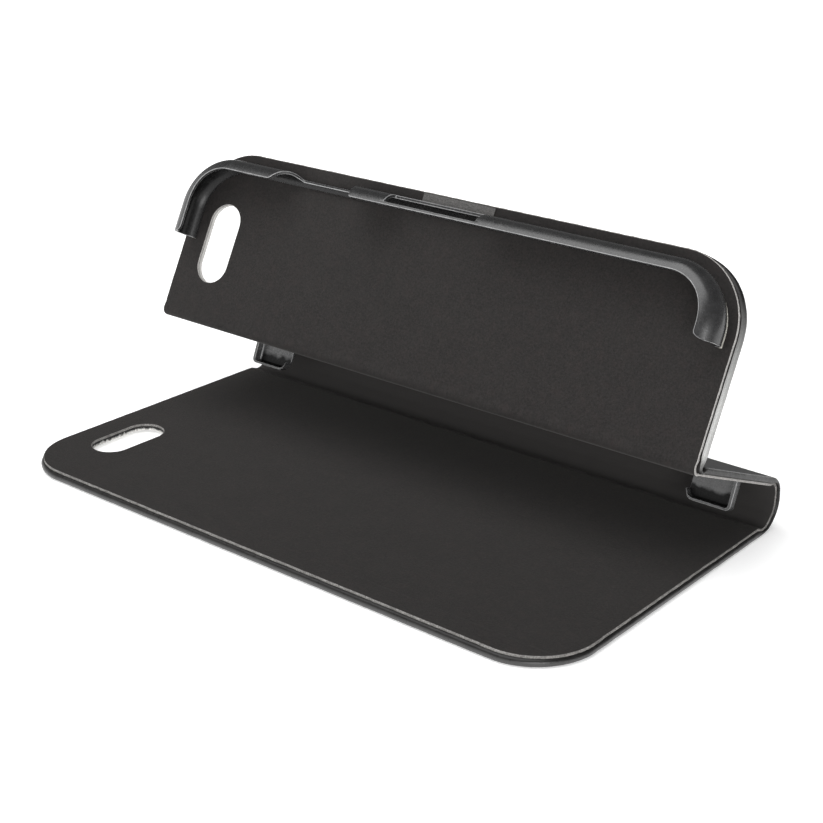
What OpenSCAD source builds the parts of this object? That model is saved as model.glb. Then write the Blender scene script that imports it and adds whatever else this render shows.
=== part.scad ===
// Folio phone case that folds into a landscape stand.
// The front cover lies flat, the spine stands up behind it, the flap rises forwards from the spine,
// and the upper panel leans back from the flap and carries the rail that grips the phone.
// Millimetres, +Z up. The origin is the middle of the front cover's underside, X runs along the case.

/* [Case] */
// Length of the lining along X
case_l = 142; // [125:1:165]
// How far the leather edge stands out past the lining
leather_proud = 0.4; // [0.2:0.1:0.8]
// Front cover, from its crease to the lining's front edge
cover_d = 75.6; // [70:0.1:90]
// Spine, from crease to crease
spine_d = 10; // [9.8:0.1:12]
// Flap, from its crease at the spine to the stand fold
flap_d = 37.1; // [34:0.1:42]
// Upper panel, from the stand fold to the lining's top edge
panel_d = 39.8; // [38:0.1:48]
// Corner radius of the front cover's lining
cover_r = 13.1; // [8:0.1:18]
// Corner radius of the upper panel's lining
panel_r = 15; // [8:0.1:18]

/* [Layers] */
// Thickness of one ply of leather
skin_t = 0.6; // [0.5:0.05:0.8]
// Thickness of the lining
lining_t = 0.5; // [0.4:0.05:0.6]
// Stiffening board in the front cover
cover_board_t = 1.1; // [0.8:0.05:1.2]
// Stiffening board in the flap and the upper panel
back_board_t = 0.9; // [0.7:0.05:1]
// Stiffening strip in the spine
stay_t = 0.3; // [0.2:0.05:0.4]
// Width of the leather that is turned in around the boards
hem_w = 5; // [4:0.5:7]
// How far the spine bows outwards
spine_bow = 2; // [0.5:0.1:2.5]

/* [Stand pose] */
// Slope of the spine above the level
spine_angle = 67.1; // [50:0.1:90]
// Direction of the flap, measured round from the level at the back
flap_angle = 157.6; // [150:0.1:170]
// Slope of the upper panel above the level
panel_angle = 63; // [55:0.1:80]

/* [Camera holes] */
// Width of both camera holes
hole_w = 9; // [7:0.1:10]
// Length of both camera holes
hole_l = 18.6; // [15:0.1:20]
// Middle of the holes, in from the lining's left edge
hole_x = 10.8; // [9:0.1:12]
// Middle of the front cover's hole, back from the lining's front edge
cover_hole_y = 22.2; // [18:0.1:26]
// Middle of the upper panel's hole, down from the lining's top edge
panel_hole_y = 21.8; // [18:0.1:22]

/* [Phone and its rail] */
// Length of the phone that the rail grips
phone_l = 138.3; // [125:0.1:139]
// Width of the phone
phone_w = 67.1; // [60:0.1:68]
// Thickness of the phone
phone_t = 6.9; // [6.5:0.1:7]
// Corner radius of the phone
phone_r = 11.6; // [8:0.1:13]
// Wall thickness of the rail and the clips
wall = 0.7; // [0.6:0.05:0.8]
// Rail's outside, down from the lining's top edge
rail_inset = 2.6; // [2:0.1:3]
// How far round the phone's edge the rail's lip reaches, in degrees above the level
lip_angle = 71; // [60:1:80]
// Left grip's free end, down from the lining's top edge
left_grip = 22; // [18:0.1:24]
// Right grip's free end, down from the lining's top edge
right_grip = 16.9; // [15:0.1:24]
// Bottom of the button gap in the rail, from its left end to its right end
gap_low = [-39.2, -25.6];
// Top of the button gap in the rail
gap_high = [-44.3, -19.2];
// Height of the low stretch of rail left in the button gap
gap_h = 1; // [0.8:0.1:3]
// Length of the slot in the middle of the rail's shoulder
slot_l = 24; // [18:1:30]
// Thickness of the adhesive tape under the rail and the clips
tape_t = 0.12; // [0.1:0.01:0.2]

/* [Lower clips and edge plate] */
// Length of a clip along X
clip_l = 10.6; // [9:0.1:14]
// Outside of a clip, in from the lining's end
clip_inset = 4.6; // [2.8:0.1:6]
// Depth of a clip, along the flap
clip_depth = 2.7; // [2.4:0.1:5]
// Height of a clip, which leaves its lip on the phone's rounded edge
clip_h = 6.9; // [6.5:0.1:7.6]
// Left and right ends of the plate behind the rail
plate_x = [-7.6, 11.1];
// Top and bottom of that plate, down from the lining's top edge
plate_y = [0.35, 3.1];
// Thickness of that plate
plate_t = 0.25; // [0.2:0.05:0.4]

/* [Hidden] */
$fn = 96;

half_l = case_l / 2;
cover_t = skin_t + cover_board_t + lining_t;
back_t = skin_t + back_board_t + lining_t;
spine_t = skin_t + stay_t + lining_t;
// Every panel stops short of its crease by this much, so that the fold has room.
crease_gap = 1.3;
fold_gap = 1.7;
board_gap = 2.4;
crease_r = 0.95;
// The stay ends this far inside the lining at both ends.
stay_inset = 2;
// The crease lines in the stand pose, as [y, z].
cover_axis = [(cover_d + leather_proud) / 2, cover_t / 2];
spine_axis = cover_axis + spine_d * [cos(spine_angle), sin(spine_angle)];
fold_axis = spine_axis + flap_d * [cos(flap_angle), sin(flap_angle)];

// Puts a panel drawn flat, with its crease on the X axis, in its place in the stand pose.
module at_axis(axis, angle) {
    translate([0, axis[0], axis[1]]) rotate([angle, 0, 0]) children();
}

// Outline of a panel that runs from depth y0 to y1, with its far corners rounded.
module outline(half, y0, y1, r) {
    translate([-half, y0]) square([2 * half, y1 - y0 - r]);
    translate([-half + r, y0]) square([2 * (half - r), y1 - y0]);
    for (s = [-1, 1]) translate([s * (half - r), y1 - r]) circle(r);
}

// Outline of a panel with a crease along both long edges.
module strip(half, y0, y1) {
    translate([-half, y0]) square([2 * half, y1 - y0]);
}

// Camera hole, long across the panel.
module pill(x, y) {
    straight = hole_l - hole_w;
    for (s = [-1, 1]) translate([x, y + s * straight / 2]) circle(d = hole_w);
    translate([x - hole_w / 2, y - straight / 2]) square([hole_w, straight]);
}

// Section of the turned leather edge: round outside, square where it meets the board.
module hem_section(h) {
    translate([h / 2, h / 2]) circle(h / 2);
    translate([h / 2, 0]) square([hem_w - h / 2, h]);
}

// Straight stretch of turned edge along Y, with its outside at X = 0 and its body towards +X.
module hem_bar(h, length) {
    translate([0, length, 0]) rotate([90, 0, 0]) linear_extrude(length) hem_section(h);
}

// Quarter of turned edge round a far corner of outside radius r.
module hem_corner(h, r) {
    rotate_extrude(angle = 90) translate([r, 0]) mirror([1, 0]) hem_section(h);
}

// Leather skin of a panel with one crease: a single ply with a turned edge on three sides.
module leather_tray(y0, y1, r, h) {
    half = half_l + leather_proud;
    far = y1 + leather_proud;
    round_r = r + leather_proud;
    for (s = [0, 1]) mirror([s, 0, 0]) {
        translate([-half, y0, 0]) hem_bar(h, far - round_r - y0);
        translate([half - round_r, far - round_r, 0]) hem_corner(h, round_r);
    }
    translate([-(half - round_r), far, 0]) rotate([0, 0, -90]) hem_bar(h, 2 * (half - round_r));
    linear_extrude(skin_t) outline(half - hem_w / 2, y0, far - hem_w / 2, round_r - hem_w / 2);
}

// Leather skin of a panel with two creases: turned edges only at its ends.
module leather_band(y0, y1, h) {
    half = half_l + leather_proud;
    for (s = [0, 1]) mirror([s, 0, 0]) translate([-half, y0, 0]) hem_bar(h, y1 - y0);
    linear_extrude(skin_t) strip(half - hem_w / 2, y0, y1);
}

// The front cover is drawn from its crease towards +Y, so it is turned round to run forwards.
module on_cover() {
    translate([0, cover_axis[0], 0]) mirror([0, 1, 0]) children();
}

module front_cover_leather() {
    color("#1d1c1c") on_cover() difference() {
        leather_tray(crease_gap, cover_d, cover_r, skin_t + cover_board_t);
        translate([0, 0, -1]) linear_extrude(4) pill(-half_l + hole_x, cover_d - cover_hole_y);
    }
}

module front_cover_board() {
    inset = hem_w - leather_proud;
    color("#d6d3cb") on_cover() translate([0, 0, skin_t]) linear_extrude(cover_board_t) difference() {
        outline(half_l - inset, board_gap, cover_d - inset, cover_r - inset);
        pill(-half_l + hole_x, cover_d - cover_hole_y);
    }
}

module front_cover_lining() {
    color("#2e2c2b") on_cover() translate([0, 0, cover_t - lining_t]) linear_extrude(lining_t)
        difference() {
            outline(half_l, crease_gap, cover_d, cover_r);
            pill(-half_l + hole_x, cover_d - cover_hole_y);
        }
}

// Round bead where leather and lining fold together, on the joint's own axis.
module crease(axis) {
    translate([-half_l, axis[0], axis[1]]) rotate([0, 90, 0]) cylinder(h = case_l, r = crease_r);
}

module cover_crease() {
    color("#242322") crease(cover_axis);
}

module spine_crease() {
    color("#242322") crease(spine_axis);
}

module stand_crease() {
    color("#242322") crease(fold_axis);
}

// One ply of the spine: an arc strip from inner radius to outer radius round the bow's centre.
module spine_ply(r_in, r_out, half) {
    bow_r = (pow(spine_d / 2, 2) + pow(spine_bow, 2)) / (2 * spine_bow);
    gap_a = crease_gap / bow_r * 180 / PI;
    half_a = asin(spine_d / 2 / bow_r) - gap_a;
    reach = 2 * bow_r;
    at_axis(cover_axis, spine_angle) translate([-half, spine_d / 2, bow_r - spine_bow])
        rotate([90, 0, 90]) linear_extrude(2 * half) intersection() {
            difference() {
                circle(bow_r + r_out);
                circle(bow_r + r_in);
            }
            polygon([[0, 0], [-reach * sin(half_a), -reach * cos(half_a)], [0, -2 * reach],
                     [reach * sin(half_a), -reach * cos(half_a)]]);
        }
}

module spine_leather() {
    color("#1d1c1c") spine_ply(spine_t / 2 - skin_t, spine_t / 2, half_l + leather_proud);
}

module spine_stay() {
    color("#d6d3cb") spine_ply(lining_t - spine_t / 2, spine_t / 2 - skin_t, half_l - stay_inset);
}

module spine_lining() {
    color("#2e2c2b") spine_ply(-spine_t / 2, lining_t - spine_t / 2, half_l);
}

// The flap, drawn with its mid-plane level and its crease at the spine on the X axis.
module on_flap() {
    at_axis(spine_axis, flap_angle) translate([0, 0, -back_t / 2]) children();
}

module flap_leather() {
    color("#1d1c1c") on_flap() leather_band(crease_gap, flap_d - fold_gap, skin_t + back_board_t);
}

module flap_board() {
    color("#d6d3cb") on_flap() translate([0, 0, skin_t]) linear_extrude(back_board_t)
        strip(half_l - hem_w + leather_proud, board_gap, flap_d - board_gap);
}

module flap_lining() {
    color("#2e2c2b") on_flap() translate([0, 0, back_t - lining_t]) linear_extrude(lining_t)
        strip(half_l, crease_gap, flap_d - fold_gap);
}

// The upper panel, drawn with its mid-plane level and the stand fold on the X axis.
module on_panel() {
    at_axis(fold_axis, panel_angle) translate([0, 0, -back_t / 2]) children();
}

module upper_panel_leather() {
    color("#1d1c1c") on_panel() difference() {
        leather_tray(fold_gap, panel_d, panel_r, skin_t + back_board_t);
        translate([0, 0, -1]) linear_extrude(4) pill(-half_l + hole_x, panel_d - panel_hole_y);
    }
}

module upper_panel_board() {
    inset = hem_w - leather_proud;
    color("#d6d3cb") on_panel() translate([0, 0, skin_t]) linear_extrude(back_board_t) difference() {
        outline(half_l - inset, board_gap, panel_d - inset, panel_r - inset);
        pill(-half_l + hole_x, panel_d - panel_hole_y);
    }
}

module upper_panel_lining() {
    color("#2e2c2b") on_panel() translate([0, 0, back_t - lining_t]) linear_extrude(lining_t)
        difference() {
            outline(half_l, fold_gap, panel_d, panel_r);
            pill(-half_l + hole_x, panel_d - panel_hole_y);
        }
}

// The rail's section, with its outside at x = 0, its foot on y = 0 and the phone towards +x.
grip_ri = phone_t / 2 + 0.05;
grip_ro = grip_ri + wall;
grip_z = phone_t / 2 - 0.05;
foot = [0.76, 2.3];
foot_t = 1.1;
// The slot's two long edges, in from the rail's outside, and its bottom above the grip's middle.
slot_depth = [0.4, 2.1];
slot_rise = 1;
rail_r = phone_r + wall;
rail_half = phone_l / 2 + wall;
rail_top = panel_d - rail_inset;

module rail_section() {
    lip_dir = [-cos(lip_angle), sin(lip_angle)];
    centre = [grip_ro, grip_z];
    reach = 3 * grip_ro;
    difference() {
        intersection() {
            union() {
                translate(centre) circle(grip_ro);
                translate([foot[0], 0]) square([foot[1] - foot[0], foot_t]);
            }
            polygon([centre, centre + reach * lip_dir, [-reach, reach], [-reach, 0], [foot[1], 0],
                     [foot[1], foot_t]]);
        }
        translate(centre) circle(grip_ri);
    }
    translate(centre + (grip_ro - wall / 2) * lip_dir) circle(wall / 2);
}

// Sweeps a section round the phone's upper edge, from the left grip's end to the right one's.
module rail_sweep() {
    corner_y = rail_top - rail_r;
    for (side = [[-1, left_grip], [1, right_grip]]) {
        end_y = panel_d - side[1];
        translate([side[0] * rail_half, corner_y, 0]) mirror([side[0] > 0 ? 1 : 0, 0, 0])
            rotate([90, 0, 0]) linear_extrude(corner_y - end_y) children();
        translate([side[0] * (rail_half - rail_r), corner_y, 0]) mirror([side[0] < 0 ? 1 : 0, 0, 0])
            rotate_extrude(angle = 90) translate([rail_r, 0]) mirror([1, 0]) children();
    }
    translate([-(rail_half - rail_r), rail_top, 0]) rotate([90, 0, 90])
        linear_extrude(2 * (rail_half - rail_r)) mirror([1, 0]) children();
}

module phone_rail() {
    top_z = 12;
    color("#18181a") on_panel() translate([0, 0, back_t + tape_t]) difference() {
        rail_sweep() rail_section();
        translate([0, rail_top + 1, 0]) rotate([90, 0, 0]) linear_extrude(8)
            polygon([[gap_low[0], gap_h], [gap_low[1], gap_h], [gap_high[1], phone_t + wall],
                     [gap_high[1], top_z], [gap_high[0], top_z], [gap_high[0], phone_t + wall]]);
        translate([-slot_l / 2, rail_top - slot_depth[1], grip_z + slot_rise])
            cube([slot_l, slot_depth[1] - slot_depth[0], top_z]);
    }
}

module rail_tape() {
    color("#d8d4c8") on_panel() translate([0, 0, back_t]) rail_sweep()
        translate([foot[0] + 0.2, 0]) square([foot[1] - foot[0] - 0.4, tape_t]);
}

module edge_plate() {
    color("#5d5a57") on_panel()
        translate([plate_x[0], panel_d - plate_y[1], back_t])
            cube([plate_x[1] - plate_x[0], plate_y[1] - plate_y[0], plate_t]);
}

// Lower clip: a back wall along the phone's lower edge, an end wall and a lip over the phone's face.
clip_back = flap_d - (phone_w - (rail_top - wall)) - wall;
clip_lip_t = 0.5;
clip_end_r = 2;
clip_corner_r = 1.6;
clip_foot = [1.9, 0.4];

module clip_body() {
    difference() {
        union() {
            translate([clip_end_r, 0, 0]) cube([clip_l - clip_end_r - clip_corner_r, clip_depth, clip_h]);
            cube([clip_end_r + 0.5, clip_depth, clip_h - clip_end_r]);
            translate([clip_end_r, clip_depth, clip_h - clip_end_r]) rotate([90, 0, 0])
                cylinder(h = clip_depth, r = clip_end_r);
            translate([clip_l - clip_corner_r - 0.5, clip_corner_r, 0])
                cube([clip_corner_r + 0.5, clip_depth - clip_corner_r, clip_h]);
            translate([clip_l - clip_corner_r, clip_corner_r, 0]) cylinder(h = clip_h, r = clip_corner_r);
        }
        translate([-1, wall, -1]) cube([clip_l - wall + 1, clip_depth, clip_h - clip_lip_t + 1]);
    }
    translate([0, wall / 2, 0]) cube([clip_l - wall / 2, clip_foot[0] - wall / 2, clip_foot[1]]);
}

module lower_clip(side) {
    color("#18181a") on_flap() mirror([side < 0 ? 1 : 0, 0, 0])
        translate([half_l - clip_inset - clip_l, clip_back, back_t + tape_t]) clip_body();
}

module lower_clip_left() {
    lower_clip(-1);
}

module lower_clip_right() {
    lower_clip(1);
}

module clip_tape(side) {
    color("#d8d4c8") on_flap() mirror([side < 0 ? 1 : 0, 0, 0])
        translate([half_l - clip_inset - clip_l + 0.2, clip_back + 0.2, back_t])
            cube([clip_l - clip_corner_r - 0.2, clip_foot[0] - 0.4, tape_t]);
}

module clip_tape_left() {
    clip_tape(-1);
}

module clip_tape_right() {
    clip_tape(1);
}

front_cover_leather();
front_cover_board();
front_cover_lining();
cover_crease();
spine_leather();
spine_stay();
spine_lining();
spine_crease();
flap_leather();
flap_board();
flap_lining();
stand_crease();
upper_panel_leather();
upper_panel_board();
upper_panel_lining();
phone_rail();
rail_tape();
edge_plate();
lower_clip_left();
lower_clip_right();
clip_tape_left();
clip_tape_right();
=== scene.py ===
import math

import bmesh
import bpy
import numpy as np
from mathutils import Matrix, Vector, noise
from mathutils.geometry import delaunay_2d_cdt


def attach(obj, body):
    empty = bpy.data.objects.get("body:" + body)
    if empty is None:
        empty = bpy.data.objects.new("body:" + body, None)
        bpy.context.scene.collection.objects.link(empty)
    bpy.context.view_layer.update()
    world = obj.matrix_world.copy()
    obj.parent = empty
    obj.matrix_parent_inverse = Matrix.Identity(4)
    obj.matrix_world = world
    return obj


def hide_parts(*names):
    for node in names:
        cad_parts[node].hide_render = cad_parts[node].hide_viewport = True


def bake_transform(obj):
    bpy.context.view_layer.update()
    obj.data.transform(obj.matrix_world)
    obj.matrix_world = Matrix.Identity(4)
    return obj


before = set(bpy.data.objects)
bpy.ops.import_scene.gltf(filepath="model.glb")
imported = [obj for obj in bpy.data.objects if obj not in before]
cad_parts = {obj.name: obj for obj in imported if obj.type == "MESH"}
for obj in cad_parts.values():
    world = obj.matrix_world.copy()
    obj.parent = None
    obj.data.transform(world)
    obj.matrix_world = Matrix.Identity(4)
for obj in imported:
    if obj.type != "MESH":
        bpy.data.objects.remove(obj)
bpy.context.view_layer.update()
MM = 0.001

# ---------------------------------------------------------------- the case's own numbers, in millimetres
HALF = 71.0
PROUD = 0.4
COVER_D, SPINE_D, FLAP_D, PANEL_D = 75.6, 10.0, 37.1, 39.8
COVER_R, PANEL_R = 13.1, 15.0
A_COVER, A_SPINE, A_FLAP, A_PANEL = 0.0, math.radians(67.1), math.radians(157.6), math.radians(63.0)
COVER_AXIS = np.array([38.0, 1.1])
SPINE_AXIS = COVER_AXIS + SPINE_D * np.array([math.cos(A_SPINE), math.sin(A_SPINE)])
FOLD_AXIS = SPINE_AXIS + FLAP_D * np.array([math.cos(A_FLAP), math.sin(A_FLAP)])
S_SPINE, S_FOLD = SPINE_D, SPINE_D + FLAP_D
S_TOP, S_FRONT = SPINE_D + FLAP_D + PANEL_D, -COVER_D
MID_SPINE, MID_FLAP = SPINE_D / 2, SPINE_D + FLAP_D / 2
SKIN = 0.6
# Each crease: its station, its axis, the section's angle before and after it, and how far its bend reaches.
CREASES = [(0.0, COVER_AXIS, A_COVER, A_SPINE, 2.2), (S_SPINE, SPINE_AXIS, A_SPINE, A_FLAP, 2.2),
           (S_FOLD, FOLD_AXIS, A_FLAP, A_PANEL, 2.0)]


def smooth(t):
    t = np.clip(t, 0.0, 1.0)
    return t * t * (3 - 2 * t)


# The spine's section is one smooth curve from the front cover, round the bow, into the flap.
BOW_FROM, BOW_TO = -2.5, SPINE_D + 2.25
BOW_HANDLES = 10.27, 2.6


def direction(angle):
    return np.array([math.cos(angle), math.sin(angle)])


def spine_curve():
    """Points and directions along the bow, spaced evenly along its length."""
    p0 = COVER_AXIS + BOW_FROM * direction(A_COVER)
    p3 = SPINE_AXIS + (BOW_TO - SPINE_D) * direction(A_FLAP)
    p1, p2 = p0 + BOW_HANDLES[0] * direction(A_COVER), p3 - BOW_HANDLES[1] * direction(A_FLAP)
    t = np.linspace(0, 1, 801)[:, None]
    p = (1 - t) ** 3 * p0 + 3 * (1 - t) ** 2 * t * p1 + 3 * (1 - t) * t * t * p2 + t ** 3 * p3
    d = 3 * (1 - t) ** 2 * (p1 - p0) + 6 * (1 - t) * t * (p2 - p1) + 3 * t * t * (p3 - p2)
    run = np.concatenate([[0], np.cumsum(np.linalg.norm(np.diff(p, axis=0), axis=1))])
    return run / run[-1], p, np.unwrap(np.arctan2(d[:, 1], d[:, 0]))


BOW_RUN, BOW_POINTS, BOW_ANGLES = spine_curve()


def bend(x, s, n):
    """Where a point of the flat case goes in the stand pose.

    x runs along the case, s along its section, and n off its mid-plane."""
    x, s, n = (np.asarray(v, float) for v in (x, s, n))
    _, axis, a0, a1, g = CREASES[2]
    w = smooth((s - S_FOLD + g) / (2 * g))
    t = np.clip((s - BOW_FROM) / (BOW_TO - BOW_FROM), 0, 1)
    before, bowed = s < BOW_FROM, (s >= BOW_FROM) & (s <= BOW_TO)
    angle = np.where(before, A_COVER, np.where(bowed, np.interp(t, BOW_RUN, BOW_ANGLES), a0 + w * (a1 - a0)))
    base_y, base_z = (
        np.where(before, COVER_AXIS[k], np.where(bowed, np.interp(t, BOW_RUN, BOW_POINTS[:, k]), axis[k]))
        for k in (0, 1))
    local = np.where(before, s, np.where(bowed, 0.0, s - S_FOLD))
    y = base_y + local * np.cos(angle) - n * np.sin(angle)
    z = base_z + local * np.sin(angle) + n * np.cos(angle)
    return np.stack([x, y, z], -1) * MM


def near(s, s0, flat, wide):
    """1 at a crease, falling to 0 away from it."""
    return 1 - smooth((np.abs(s - s0) - flat) / (wide - flat))


def layer(s, which):
    """Offset from the mid-plane of the outer face, the face between leather and lining, or the inner face."""
    s = np.asarray(s, float)
    panels = {"outer": (-1.1, -0.7, -0.85), "between": (0.6, 0.2, 0.5), "inner": (1.1, 0.7, 1.0)}[which]
    value = np.where(s < 0, panels[0], np.where(s < SPINE_D, panels[1], panels[2]))
    creased = {"outer": (-0.86, -0.86, -0.42), "between": (-0.26, -0.26, 0.26),
               "inner": (0.24, 0.24, 0.80)}[which]
    reach = [(0.25, 3.0), (0.25, 3.0), (0.3, 3.2)]
    if which == "outer":
        value = np.where(s > S_FOLD, -1.0, value)
    for (s0, *_), there, (flat, wide) in zip(CREASES, creased, reach):
        w = near(s, s0, flat, wide)
        value = value * (1 - w) + there * w
    return value


def mesh_object(name, verts, faces, material, smooth_angle=32, extra=()):
    mesh = bpy.data.meshes.new(name)
    mesh.from_pydata([tuple(v) for v in verts], [], [tuple(f) for f in faces])
    for m in [material, *extra]:
        mesh.materials.append(m)
    mesh.validate()
    mesh.update()
    obj = bpy.data.objects.new(name, mesh)
    bpy.context.scene.collection.objects.link(obj)
    mesh.polygons.foreach_set("use_smooth", [True] * len(mesh.polygons))
    mesh.set_sharp_from_angle(angle=math.radians(smooth_angle))
    return obj


def flat_coordinates(obj, coords):
    """Keeps each point's place on the flat case, so that grain runs on over every fold and in every pose."""
    a = obj.data.attributes.new("flat_mm", "FLOAT_VECTOR", "POINT")
    a.data.foreach_set("vector", np.asarray(coords, np.float32).ravel())


# ---------------------------------------------------------------- laminated skins
CREASE_ROWS = [0, 0.2, 0.4, 0.6, 0.8, 1.0, 1.25, 1.5, 1.8, 2.2, 2.7, 3.3]
RIM_STEP, CORNER_STEPS, END_POINTS = 1.2, 44, 110
GRID = np.arange(-68, 68.1, 2.0)


def s_rows(s0, s1, step=2.0):
    """Section stations: close together at the creases and along the spine's curve."""
    rows = set([round(s0, 4), round(s1, 4)])
    for c in (0.0, S_SPINE, S_FOLD):
        for d in CREASE_ROWS:
            rows |= {round(c - d, 4), round(c + d, 4)}
    for v in np.arange(3.6, SPINE_D - 3.5, 0.35):
        rows.add(round(float(v), 4))
    for lo, hi in ((S_FRONT, -4.0), (S_SPINE + 4.0, S_FOLD - 4.0), (S_FOLD + 4.0, S_TOP)):
        for v in np.linspace(lo, hi, max(2, int((hi - lo) / step))):
            rows.add(round(float(v), 4))
    return sorted(v for v in rows if s0 <= v <= s1)


def rim_path(s_cut, s_end, half, r):
    """Boundary of a plate from its cut end on the left, round the far end, to its cut end on the right.

    The normals point into the plate."""
    sign = 1 if s_end > s_cut else -1
    centre_s = s_end - sign * r
    side = s_rows(min(s_cut, centre_s), max(s_cut, centre_s), RIM_STEP)
    if sign < 0:
        side = side[::-1]
    pts, nrm = [], []
    for v in side:
        pts.append((-half, v))
        nrm.append((1.0, 0.0))
    for k in range(1, CORNER_STEPS):
        a = math.pi / 2 * k / CORNER_STEPS
        pts.append((-half + r - r * math.cos(a), centre_s + sign * r * math.sin(a)))
        nrm.append((math.cos(a), -sign * math.sin(a)))
    for v in np.linspace(-half + r, half - r, END_POINTS):
        pts.append((float(v), s_end))
        nrm.append((0.0, -sign))
    for k in range(CORNER_STEPS - 1, 0, -1):
        a = math.pi / 2 * k / CORNER_STEPS
        pts.append((half - r + r * math.cos(a), centre_s + sign * r * math.sin(a)))
        nrm.append((-math.cos(a), -sign * math.sin(a)))
    for v in side[::-1]:
        pts.append((half, v))
        nrm.append((-1.0, 0.0))
    return np.array(pts), np.array(nrm)


def pill_path(cx, cs, width, length):
    """Camera hole's outline, with normals pointing into the material."""
    r, straight = width / 2, length - width
    pts, nrm = [], []
    for end, a0 in ((1, 0.0), (-1, math.pi)):
        for k in range(25):
            a = a0 + math.pi * k / 24
            pts.append((cx + r * math.cos(a), cs + end * straight / 2 + r * math.sin(a)))
            nrm.append((math.cos(a), math.sin(a)))
    return np.array(pts), np.array(nrm)


def frayed(points, seed, size, scale):
    """How far a rough edge is set in at each point: coarse waves, with finer ones at half their size."""
    finer = scale * 3.1
    out = []
    for x, s in points:
        wave = noise.noise(Vector((x * scale, s * scale, seed)))
        ripple = noise.noise(Vector((x * finer, s * finer, seed + 9)))
        out.append(size * wave + 0.5 * size * ripple)
    return np.array(out)


class Plate:
    """One skin of the case between two section stations, as a closed plate with a shaped rim."""

    def __init__(self):
        self.co, self.faces, self.material = [], [], []

    def add(self, x, s, n):
        start = len(self.co)
        self.co += list(zip(np.ravel(x), np.ravel(s), np.ravel(n)))
        return list(range(start, len(self.co)))

    def strip(self, a, b, material=0, closed=False):
        count = len(a)
        for i in range(count if closed else count - 1):
            j = (i + 1) % count
            self.faces.append((a[i], a[j], b[j], b[i]))
            self.material.append(material)

    def fill(self, loops, holes, n_of, rows, half, flip, cuts, material=0):
        """Triangulates a face between boundary loops, with inside points on the given rows."""
        pts, idx, edges = [], [], []
        for loop, closed in loops:
            start = len(pts)
            for i in loop:
                pts.append(Vector((self.co[i][0], self.co[i][1])))
                idx.append(i)
            edges += [(start + k, start + k + 1) for k in range(len(loop) - 1)]
            if closed:
                edges.append((start + len(loop) - 1, start))
        outer = np.array([(p.x, p.y) for p in pts])
        first, last = 0, len(loops[0][0]) - 1
        if len(loops) == 2 and not loops[1][1]:
            ends = [(last, last + 1), (last + len(loops[1][0]), first)]
        else:
            ends = [(last, first)] if not loops[0][1] else []
        for a, b in ends:
            pa, pb = pts[a], pts[b]
            xs = [x for x in GRID if min(pa.x, pb.x) + 0.6 < x < max(pa.x, pb.x) - 0.6]
            if pa.x > pb.x:
                xs = xs[::-1]
            chain = [a]
            for x in xs:
                pts.append(Vector((x, pa.y)))
                idx.append(None)
                chain.append(len(pts) - 1)
            chain.append(b)
            edges += list(zip(chain[:-1], chain[1:]))
        lo, hi = outer.min(0), outer.max(0)
        polygon = outer[:len(loops[0][0])] if len(loops) == 1 or loops[1][1] else None
        for s in rows:
            if not lo[1] + 0.12 < s < hi[1] - 0.5 or any(abs(s - c) < 1e-6 for c in cuts):
                continue
            for x in GRID:
                if self.inside(x, s, polygon, half, holes):
                    pts.append(Vector((x, s)))
                    idx.append(None)
        out = delaunay_2d_cdt(pts, edges, [], 0, 1e-5)
        where, result = {}, []
        new_s, new_x = [], []
        for k, origin in enumerate(out[3]):
            source = next((o for o in origin if o < len(idx)), None)
            result.append(idx[source] if source is not None else None)
            if result[-1] is None:
                new_x.append(out[0][k].x)
                new_s.append(out[0][k].y)
                where[k] = len(new_x) - 1
        fresh = self.add(new_x, new_s, n_of(np.array(new_s))) if new_x else []
        full = [result[k] if result[k] is not None else fresh[where[k]] for k in range(len(result))]
        for f in out[2]:
            tri = [full[k] for k in f]
            c = np.mean([self.co[t][:2] for t in tri], 0)
            if not self.within(c, loops):
                continue
            a, b, c3 = (np.array(self.co[t][:2]) for t in tri)
            area = (b[0] - a[0]) * (c3[1] - a[1]) - (c3[0] - a[0]) * (b[1] - a[1])
            if abs(area) < 1e-7:
                continue
            if (area > 0) == flip:
                tri = tri[::-1]
            self.faces.append(tuple(tri))
            self.material.append(material)

    @staticmethod
    def inside(x, s, polygon, half, holes):
        for cx, cs, w, l in holes:
            dy = max(0.0, abs(s - cs) - (l - w) / 2)
            if math.hypot(x - cx, dy) < w / 2 + 1.4:
                return False
        if polygon is None:
            return abs(x) < half - 1.2
        d = np.hypot(polygon[:, 0] - x, polygon[:, 1] - s).min()
        return d > 0.7 and point_in(polygon, x, s)

    def within(self, c, loops):
        for loop, closed in loops[1:]:
            if closed and point_in(np.array([self.co[i][:2] for i in loop]), c[0], c[1]):
                return False
        strips = len(loops) == 2 and not loops[1][1]
        polygon = np.array([self.co[i][:2] for i in (loops[0][0] + loops[1][0] if strips else loops[0][0])])
        return point_in(polygon, c[0], c[1])

    def build(self, name, material, extra):
        verts = bend([c[0] for c in self.co], [c[1] for c in self.co], [c[2] for c in self.co])
        obj = mesh_object(name, verts, self.faces, material, extra=extra)
        obj.data.polygons.foreach_set("material_index", self.material)
        flat_coordinates(obj, self.co)
        bm = bmesh.new()
        bm.from_mesh(obj.data)
        open_edges = [e for e in bm.edges if e.is_boundary]
        if open_edges:
            made = bmesh.ops.holes_fill(bm, edges=open_edges, sides=0)
            for f in made["faces"]:
                f.smooth = False
        bmesh.ops.recalc_face_normals(bm, faces=bm.faces)
        bm.to_mesh(obj.data)
        bm.free()
        return obj


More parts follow.
